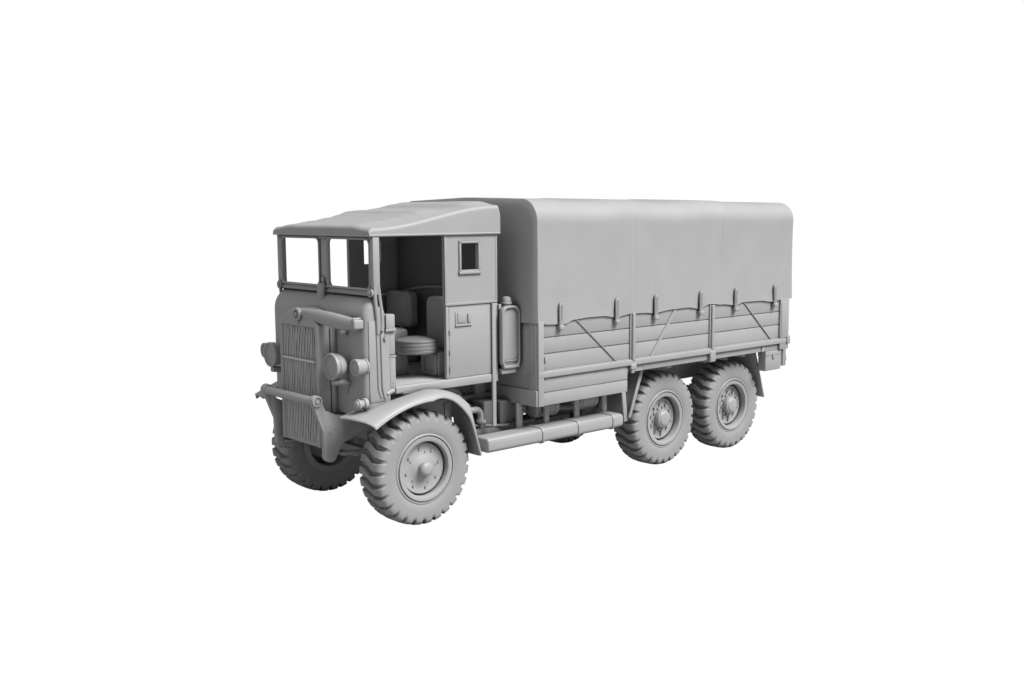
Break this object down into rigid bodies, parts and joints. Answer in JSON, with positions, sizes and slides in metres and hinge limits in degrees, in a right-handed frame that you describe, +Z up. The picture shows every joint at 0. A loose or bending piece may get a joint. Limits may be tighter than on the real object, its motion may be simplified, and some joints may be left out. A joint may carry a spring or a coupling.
{
  "type": "scale model of a six-wheeled military cargo truck",
  "caption": "Unpainted plastic scale model of a forward-control cargo truck with a canvas-roofed cab, a covered load body and a driven rear bogie; its wheels roll and its front wheels steer.",
  "frame": {"origin": "bottom centre of the whole model, on the surface it stands on", "axes": "+X forward, +Y to the vehicle's left, +Z up"},
  "size_m": [0.1862, 0.065, 0.086],
  "materials": {
    "grey_plastic": "bare satin moulded polystyrene",
    "tyre_plastic": "bare satin moulded polystyrene, like the rest",
    "canvas_plastic": "bare moulded polystyrene with a modelled canvas surface"
  },
  "bodies": {
    "truck": {"chassis_frame": "grey_plastic", "cross_members": "grey_plastic", "front_bumper": "grey_plastic", "front_axle_beam": "grey_plastic", "front_springs": "grey_plastic", "bogie_springs": "grey_plastic", "bogie_axles": "grey_plastic", "propeller_shafts": "grey_plastic", "engine_block": "grey_plastic", "exhaust_pipe": "grey_plastic", "fuel_tank": "grey_plastic", "tank_shelf": "grey_plastic", "radiator_shell": "grey_plastic", "radiator_grille": "grey_plastic", "radiator_blind": "canvas_plastic", "cab_front": "grey_plastic", "windscreen_frame": "grey_plastic", "cab_floor": "grey_plastic", "cab_sides": "grey_plastic", "cab_rear_wall": "grey_plastic", "cab_roof": "canvas_plastic", "engine_cover": "grey_plastic", "seats": "grey_plastic", "steering_wheel": "grey_plastic", "lamps": "grey_plastic", "front_mudguards": "grey_plastic", "rear_mudguards": "grey_plastic", "running_boards": "grey_plastic", "side_lockers": "grey_plastic", "reservoirs": "grey_plastic", "body_floor": "grey_plastic", "floor_bearers": "grey_plastic", "floor_runners": "grey_plastic", "body_sides": "grey_plastic", "body_front_board": "grey_plastic", "tailboard": "grey_plastic", "tilt_hoops": "grey_plastic", "tilt": "canvas_plastic", "tail_box": "grey_plastic", "tail_lamps": "grey_plastic"},
    "knuckle_left": {"knuckle_left": "grey_plastic"},
    "knuckle_right": {"knuckle_right": "grey_plastic"},
    "tie_rod": {"tie_rod": "grey_plastic"},
    "front_left_wheel": {"front_wheel_left": "grey_plastic", "front_tyre_left": "tyre_plastic"},
    "middle_left_wheel": {"middle_wheel_left": "grey_plastic", "middle_tyre_left": "tyre_plastic"},
    "rear_left_wheel": {"rear_wheel_left": "grey_plastic", "rear_tyre_left": "tyre_plastic"},
    "front_right_wheel": {"front_wheel_right": "grey_plastic", "front_tyre_right": "tyre_plastic"},
    "middle_right_wheel": {"middle_wheel_right": "grey_plastic", "middle_tyre_right": "tyre_plastic"},
    "rear_right_wheel": {"rear_wheel_right": "grey_plastic", "rear_tyre_right": "tyre_plastic"}
  },
  "joints": [
    {"name": "steer_left", "type": "hinge", "parent": "truck", "child": "knuckle_left", "pos_m": [0.06832, 0.0214, 0.0153], "axis": [0, 0, 1], "range_deg": [-25, 25]},
    {"name": "steer_right", "type": "hinge", "parent": "truck", "child": "knuckle_right", "pos_m": [0.06832, -0.0214, 0.0153], "axis": [0, 0, 1], "range_deg": [-25, 25]},
    {"name": "tie_rod_turn", "type": "hinge", "parent": "knuckle_left", "child": "tie_rod", "pos_m": [0.06432, 0.0214, 0.01235], "axis": [0, 0, 1], "range_deg": [-25, 25]},
    {"name": "front_left_spin", "type": "hinge", "parent": "knuckle_left", "child": "front_left_wheel", "pos_m": [0.06832, 0.0232, 0.0153], "axis": [0, 1, 0], "continuous": true},
    {"name": "middle_left_spin", "type": "hinge", "parent": "truck", "child": "middle_left_wheel", "pos_m": [-0.02877, 0.0219, 0.0153], "axis": [0, 1, 0], "continuous": true},
    {"name": "rear_left_spin", "type": "hinge", "parent": "truck", "child": "rear_left_wheel", "pos_m": [-0.06448, 0.0219, 0.0153], "axis": [0, 1, 0], "continuous": true},
    {"name": "front_right_spin", "type": "hinge", "parent": "knuckle_right", "child": "front_right_wheel", "pos_m": [0.06832, -0.0232, 0.0153], "axis": [0, 1, 0], "continuous": true},
    {"name": "middle_right_spin", "type": "hinge", "parent": "truck", "child": "middle_right_wheel", "pos_m": [-0.02877, -0.0219, 0.0153], "axis": [0, 1, 0], "continuous": true},
    {"name": "rear_right_spin", "type": "hinge", "parent": "truck", "child": "rear_right_wheel", "pos_m": [-0.06448, -0.0219, 0.0153], "axis": [0, 1, 0], "continuous": true}
  ],
  "couplings": [
    {"joint": "steer_right", "follows": "steer_left", "ratio": 1},
    {"joint": "tie_rod_turn", "follows": "steer_left", "ratio": -1}
  ]
}
